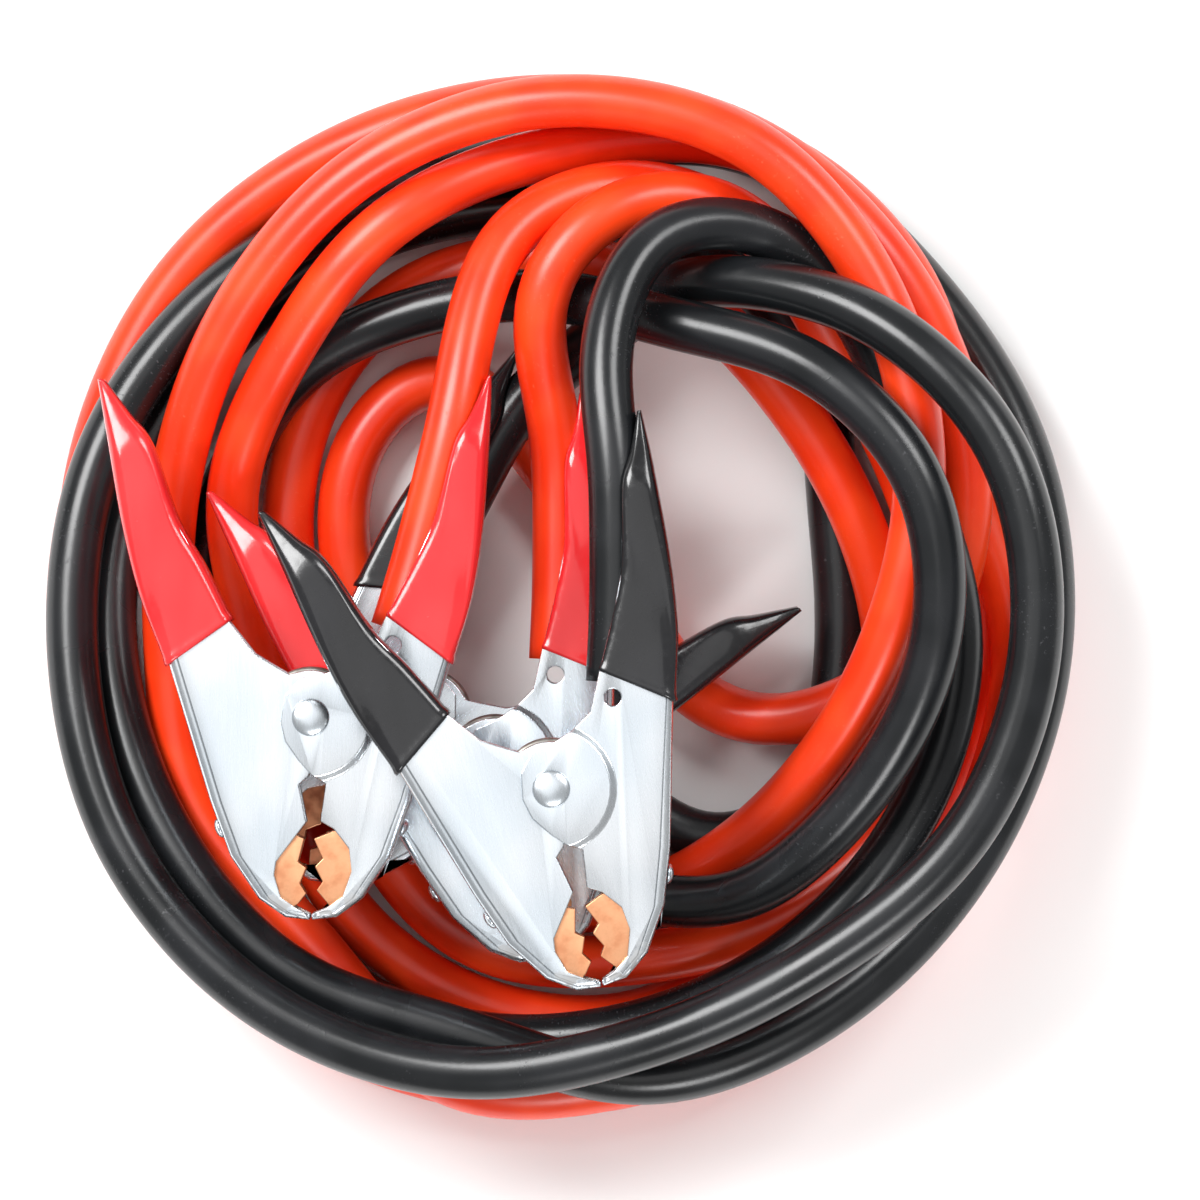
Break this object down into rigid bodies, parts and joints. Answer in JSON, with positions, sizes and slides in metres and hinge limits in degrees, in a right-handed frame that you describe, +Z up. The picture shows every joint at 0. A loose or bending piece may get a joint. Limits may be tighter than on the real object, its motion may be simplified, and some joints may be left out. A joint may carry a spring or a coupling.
{
  "type": "jumper cable set",
  "caption": "Coiled pair of car jumper leads, red and black, with sprung steel clamps, vinyl grips and toothed copper jaws.",
  "frame": {"origin": "middle of the bounding box at its base, on the ground", "axes": "+Z up through the coil; +Y towards the top of the picture, from the jaws to the grips; +X to its right"},
  "size_m": [0.3118, 0.3178, 0.111],
  "materials": {
    "red_cable_jacket": "smooth satin orange-red PVC with soft long highlights",
    "black_cable_jacket": "satin black PVC with fine cross scuffs",
    "red_grip_vinyl": "glossy crimson dipped vinyl, slightly creased",
    "black_grip_vinyl": "glossy black dipped vinyl, slightly creased",
    "zinc_steel": "bright zinc-plated pressed steel with worn edges",
    "spring_steel": "plain drawn spring wire",
    "copper_insert": "pale copper plate, slightly worn at the teeth"
  },
  "bodies": {
    "leads": {"red_cable": "red_cable_jacket", "black_cable": "black_cable_jacket", "black_clamp_2_cable_half": "zinc_steel", "black_clamp_2_pivot_rivet": "zinc_steel", "black_clamp_2_torsion_spring": "spring_steel", "black_clamp_2_cable_sleeve": "black_grip_vinyl", "black_clamp_2_cable_jaw": "copper_insert", "black_clamp_2_cable_jaw_rivet": "zinc_steel", "red_clamp_2_cable_half": "zinc_steel", "red_clamp_2_pivot_rivet": "zinc_steel", "red_clamp_2_torsion_spring": "spring_steel", "red_clamp_2_cable_sleeve": "red_grip_vinyl", "red_clamp_2_cable_jaw": "copper_insert", "red_clamp_2_cable_jaw_rivet": "zinc_steel", "red_clamp_1_cable_half": "zinc_steel", "red_clamp_1_pivot_rivet": "zinc_steel", "red_clamp_1_torsion_spring": "spring_steel", "red_clamp_1_cable_sleeve": "red_grip_vinyl", "red_clamp_1_cable_jaw": "copper_insert", "red_clamp_1_cable_jaw_rivet": "zinc_steel", "black_clamp_1_cable_half": "zinc_steel", "black_clamp_1_pivot_rivet": "zinc_steel", "black_clamp_1_torsion_spring": "spring_steel", "black_clamp_1_cable_sleeve": "black_grip_vinyl", "black_clamp_1_cable_jaw": "copper_insert", "black_clamp_1_cable_jaw_rivet": "zinc_steel"},
    "black_clamp_2_lever": {"black_clamp_2_lever_half": "zinc_steel", "black_clamp_2_lever_sleeve": "black_grip_vinyl", "black_clamp_2_lever_jaw": "copper_insert", "black_clamp_2_lever_jaw_rivet": "zinc_steel"},
    "red_clamp_2_lever": {"red_clamp_2_lever_half": "zinc_steel", "red_clamp_2_lever_sleeve": "red_grip_vinyl", "red_clamp_2_lever_jaw": "copper_insert", "red_clamp_2_lever_jaw_rivet": "zinc_steel"},
    "red_clamp_1_lever": {"red_clamp_1_lever_half": "zinc_steel", "red_clamp_1_lever_sleeve": "red_grip_vinyl", "red_clamp_1_lever_jaw": "copper_insert", "red_clamp_1_lever_jaw_rivet": "zinc_steel"},
    "black_clamp_1_lever": {"black_clamp_1_lever_half": "zinc_steel", "black_clamp_1_lever_sleeve": "black_grip_vinyl", "black_clamp_1_lever_jaw": "copper_insert", "black_clamp_1_lever_jaw_rivet": "zinc_steel"}
  },
  "joints": [
    {"name": "black_clamp_2_squeeze", "type": "hinge", "parent": "leads", "child": "black_clamp_2_lever", "pos_m": [-0.04156, -0.0362, 0.02923], "axis": [0, 0, 1], "range_deg": [0, 35], "stiffness_Nm_per_rad": 3, "springref_deg": -28.65, "deforming": ["black_clamp_2_torsion_spring"]},
    {"name": "red_clamp_2_squeeze", "type": "hinge", "parent": "leads", "child": "red_clamp_2_lever", "pos_m": [-0.01946, -0.0501, 0.05243], "axis": [0, 0, -1], "range_deg": [0, 35], "stiffness_Nm_per_rad": 3, "springref_deg": -28.65, "deforming": ["red_clamp_2_torsion_spring"]},
    {"name": "red_clamp_1_squeeze", "type": "hinge", "parent": "leads", "child": "red_clamp_1_lever", "pos_m": [-0.07416, -0.0356, 0.07563], "axis": [0, 0, -1], "range_deg": [0, 35], "stiffness_Nm_per_rad": 3, "springref_deg": -28.65, "deforming": ["red_clamp_1_torsion_spring"]},
    {"name": "black_clamp_1_squeeze", "type": "hinge", "parent": "leads", "child": "black_clamp_1_lever", "pos_m": [-0.00226, -0.0565, 0.09883], "axis": [0, 0, -1], "range_deg": [0, 35], "stiffness_Nm_per_rad": 3, "springref_deg": -28.65, "deforming": ["black_clamp_1_torsion_spring"]}
  ]
}
